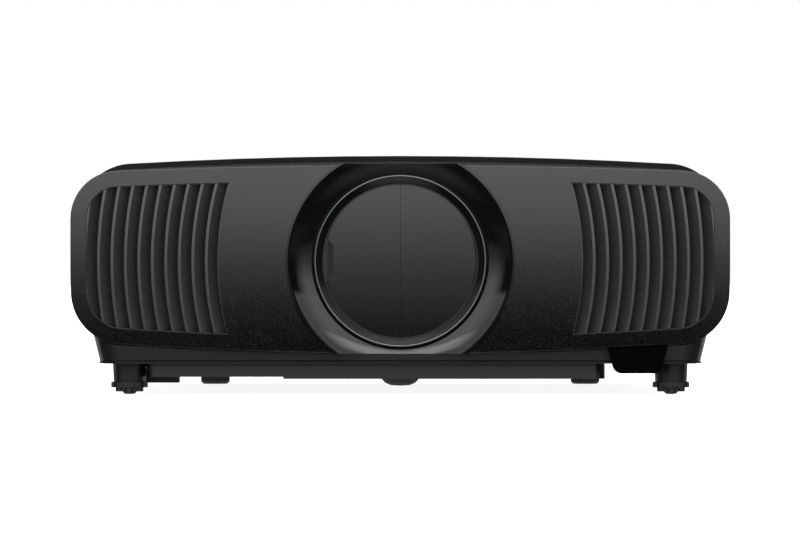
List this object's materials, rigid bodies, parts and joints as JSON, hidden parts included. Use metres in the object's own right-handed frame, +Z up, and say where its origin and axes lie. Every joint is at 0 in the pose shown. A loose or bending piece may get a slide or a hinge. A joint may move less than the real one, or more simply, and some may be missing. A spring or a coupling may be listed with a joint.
{
  "type": "home projector",
  "caption": "Wide home cinema projector with a central lens bowl, sliding split lens shutter, curved side vents and screw feet.",
  "frame": {"origin": "on the floor, under the middle of the case", "axes": "+X to the right seen from the front, +Y towards the rear so the lens looks along -Y, +Z up"},
  "size_m": [0.5226, 0.447, 0.1929],
  "materials": {
    "case_plastic": "fine grained matt charcoal",
    "gloss_black": "polished black",
    "dark_plastic": "matt black moulding",
    "louvre_plastic": "matt charcoal louvres",
    "ring_plastic": "satin dark grey",
    "steel_sheet": "zinc plated sheet",
    "screw_steel": "blackened steel",
    "rubber_black": "matt rubber",
    "lens_glass": "coated optical glass",
    "barrel_metal": "black anodised",
    "gear_plastic": "natural acetal",
    "motor_metal": "drawn steel can",
    "cast_alloy": "die cast",
    "fin_alloy": "extruded fins",
    "board_green": "circuit board",
    "connector_metal": "plated shells",
    "optic_mix": "prism and panels",
    "wheel_coat": "phosphor coated disc",
    "filter_foam": "pleated filter",
    "window_dark": "infrared window",
    "key_plastic": "satin keys"
  },
  "bodies": {
    "case": {"front_fascia": "case_plastic", "lens_bowl": "gloss_black", "lens_trim_ring": "ring_plastic", "vent_grille_left": "louvre_plastic", "vent_grille_right": "louvre_plastic", "remote_window_front": "gloss_black", "shutter_frame": "steel_sheet", "shutter_motor": "motor_metal", "upper_case": "case_plastic", "lower_case": "dark_plastic", "bottom_cover": "dark_plastic", "rear_panel": "case_plastic", "remote_window_rear": "window_dark", "fasteners": "screw_steel", "rear_feet": "rubber_black", "lens_mount": "cast_alloy", "optical_engine": "cast_alloy", "imaging_core": "optic_mix", "laser_source": "cast_alloy", "heat_sink": "fin_alloy", "fan_frames": "dark_plastic", "main_board": "board_green", "power_board": "board_green", "terminal_plate": "dark_plastic", "connectors": "connector_metal", "power_inlet": "dark_plastic", "control_plate": "dark_plastic", "control_board": "board_green"},
    "shutter_right": {"shutter_door_right": "ring_plastic"},
    "shutter_left": {"shutter_door_left": "ring_plastic"},
    "shutter_gear": {"shutter_pinion": "gear_plastic"},
    "foot_pad_l": {"foot_pad_left": "rubber_black"},
    "foot_dial_l": {"foot_dial_left": "dark_plastic"},
    "foot_pad_r": {"foot_pad_right": "rubber_black"},
    "foot_dial_r": {"foot_dial_right": "dark_plastic"},
    "shift_up": {"shift_plate_up": "steel_sheet"},
    "lens": {"shift_plate_side": "steel_sheet", "lens_barrel": "barrel_metal", "lens_glass": "lens_glass", "lens_motors": "motor_metal"},
    "focus_gear": {"focus_ring": "gear_plastic"},
    "zoom_gear": {"zoom_ring": "gear_plastic"},
    "focus_drive": {"focus_pinion": "gear_plastic"},
    "zoom_drive": {"zoom_pinion": "gear_plastic"},
    "exhaust_fan_l": {"exhaust_rotor_left": "dark_plastic"},
    "exhaust_fan_r": {"exhaust_rotor_right": "dark_plastic"},
    "intake_fan": {"intake_fan_rotor": "dark_plastic"},
    "phosphor": {"phosphor_wheel": "wheel_coat"},
    "filter_drawer": {"filter_cover": "case_plastic", "air_filter": "filter_foam"},
    "panel_door": {"control_door": "case_plastic"},
    "key_power": {"button_power": "key_plastic"},
    "key_source": {"button_source": "key_plastic"},
    "key_menu": {"button_menu": "key_plastic"},
    "key_escape": {"button_escape": "key_plastic"},
    "key_up": {"button_up": "key_plastic"},
    "key_down": {"button_down": "key_plastic"},
    "key_near": {"button_near": "key_plastic"},
    "key_far": {"button_far": "key_plastic"},
    "key_enter": {"button_enter": "key_plastic"}
  },
  "joints": [
    {"name": "shutter_right_slide", "type": "slide", "parent": "case", "child": "shutter_right", "axis": [1, 0, 0], "range_m": [0, 0.062]},
    {"name": "shutter_left_slide", "type": "slide", "parent": "case", "child": "shutter_left", "axis": [-1, 0, 0], "range_m": [0, 0.062]},
    {"name": "shutter_gear_turn", "type": "hinge", "parent": "case", "child": "shutter_gear", "pos_m": [0, -0.194, 0.03], "axis": [0, -1, 0], "range_deg": [0, 745]},
    {"name": "foot_l_height", "type": "slide", "parent": "case", "child": "foot_pad_l", "axis": [0, 0, -1], "range_m": [0, 0.01]},
    {"name": "foot_l_turn", "type": "hinge", "parent": "foot_pad_l", "child": "foot_dial_l", "pos_m": [-0.216, -0.1801, 0.005], "axis": [0, 0, 1], "range_deg": [0, 1205]},
    {"name": "foot_r_height", "type": "slide", "parent": "case", "child": "foot_pad_r", "axis": [0, 0, -1], "range_m": [0, 0.01]},
    {"name": "foot_r_turn", "type": "hinge", "parent": "foot_pad_r", "child": "foot_dial_r", "pos_m": [0.216, -0.1801, 0.005], "axis": [0, 0, 1], "range_deg": [0, 1205]},
    {"name": "lens_shift_vertical", "type": "slide", "parent": "case", "child": "shift_up", "axis": [0, 0, 1], "range_m": [-0.01, 0.01]},
    {"name": "lens_shift_horizontal", "type": "slide", "parent": "shift_up", "child": "lens", "axis": [1, 0, 0], "range_m": [-0.006, 0.006]},
    {"name": "focus_ring_turn", "type": "hinge", "parent": "lens", "child": "focus_gear", "pos_m": [0, -0.1511, 0.106], "axis": [0, 1, 0], "range_deg": [-90, 90]},
    {"name": "focus_pinion_turn", "type": "hinge", "parent": "lens", "child": "focus_drive", "pos_m": [-0.03606, -0.1511, 0.14206], "axis": [0, 1, 0], "range_deg": [-680, 680]},
    {"name": "zoom_ring_turn", "type": "hinge", "parent": "lens", "child": "zoom_gear", "pos_m": [0, -0.1211, 0.106], "axis": [0, 1, 0], "range_deg": [-60, 60]},
    {"name": "zoom_pinion_turn", "type": "hinge", "parent": "lens", "child": "zoom_drive", "pos_m": [0.03606, -0.1211, 0.14206], "axis": [0, 1, 0], "range_deg": [-455, 455]},
    {"name": "exhaust_fan_l_spin", "type": "hinge", "parent": "case", "child": "exhaust_fan_l", "pos_m": [-0.19, -0.1911, 0.106], "axis": [0, -1, 0], "continuous": true},
    {"name": "exhaust_fan_r_spin", "type": "hinge", "parent": "case", "child": "exhaust_fan_r", "pos_m": [0.19, -0.1911, 0.106], "axis": [0, -1, 0], "continuous": true},
    {"name": "intake_fan_spin", "type": "hinge", "parent": "case", "child": "intake_fan", "pos_m": [-0.186, 0.156, 0.106], "axis": [0, -1, 0], "continuous": true},
    {"name": "phosphor_spin", "type": "hinge", "parent": "case", "child": "phosphor", "pos_m": [-0.025, 0.054, 0.106], "axis": [0, 1, 0], "continuous": true},
    {"name": "filter_slide", "type": "slide", "parent": "case", "child": "filter_drawer", "axis": [0, 1, 0], "range_m": [0, 0.08]},
    {"name": "panel_door_hinge", "type": "hinge", "parent": "case", "child": "panel_door", "pos_m": [-0.2549, 0.02, 0.1009], "axis": [0, -1, 0], "range_deg": [0, 92]},
    {"name": "key_power_press", "type": "slide", "parent": "case", "child": "key_power", "axis": [1, 0, 0], "range_m": [0, 0.0008], "stiffness_N_per_m": 400, "springref_m": -0.0005},
    {"name": "key_source_press", "type": "slide", "parent": "case", "child": "key_source", "axis": [1, 0, 0], "range_m": [0, 0.0008], "stiffness_N_per_m": 400, "springref_m": -0.0005},
    {"name": "key_menu_press", "type": "slide", "parent": "case", "child": "key_menu", "axis": [1, 0, 0], "range_m": [0, 0.0008], "stiffness_N_per_m": 400, "springref_m": -0.0005},
    {"name": "key_escape_press", "type": "slide", "parent": "case", "child": "key_escape", "axis": [1, 0, 0], "range_m": [0, 0.0008], "stiffness_N_per_m": 400, "springref_m": -0.0005},
    {"name": "key_up_press", "type": "slide", "parent": "case", "child": "key_up", "axis": [1, 0, 0], "range_m": [0, 0.0008], "stiffness_N_per_m": 400, "springref_m": -0.0005},
    {"name": "key_down_press", "type": "slide", "parent": "case", "child": "key_down", "axis": [1, 0, 0], "range_m": [0, 0.0008], "stiffness_N_per_m": 400, "springref_m": -0.0005},
    {"name": "key_near_press", "type": "slide", "parent": "case", "child": "key_near", "axis": [1, 0, 0], "range_m": [0, 0.0008], "stiffness_N_per_m": 400, "springref_m": -0.0005},
    {"name": "key_far_press", "type": "slide", "parent": "case", "child": "key_far", "axis": [1, 0, 0], "range_m": [0, 0.0008], "stiffness_N_per_m": 400, "springref_m": -0.0005},
    {"name": "key_enter_press", "type": "slide", "parent": "case", "child": "key_enter", "axis": [1, 0, 0], "range_m": [0, 0.0008], "stiffness_N_per_m": 400, "springref_m": -0.0005}
  ],
  "couplings": [
    {"joint": "shutter_left_slide", "follows": "shutter_right_slide", "ratio": 1},
    {"joint": "shutter_gear_turn", "follows": "shutter_right_slide", "rad_per_m": 208.33},
    {"joint": "foot_l_turn", "follows": "foot_l_height", "rad_per_m": 2094.4},
    {"joint": "foot_r_turn", "follows": "foot_r_height", "rad_per_m": 2094.4},
    {"joint": "focus_pinion_turn", "follows": "focus_ring_turn", "ratio": -7.5},
    {"joint": "zoom_pinion_turn", "follows": "zoom_ring_turn", "ratio": -7.5}
  ]
}
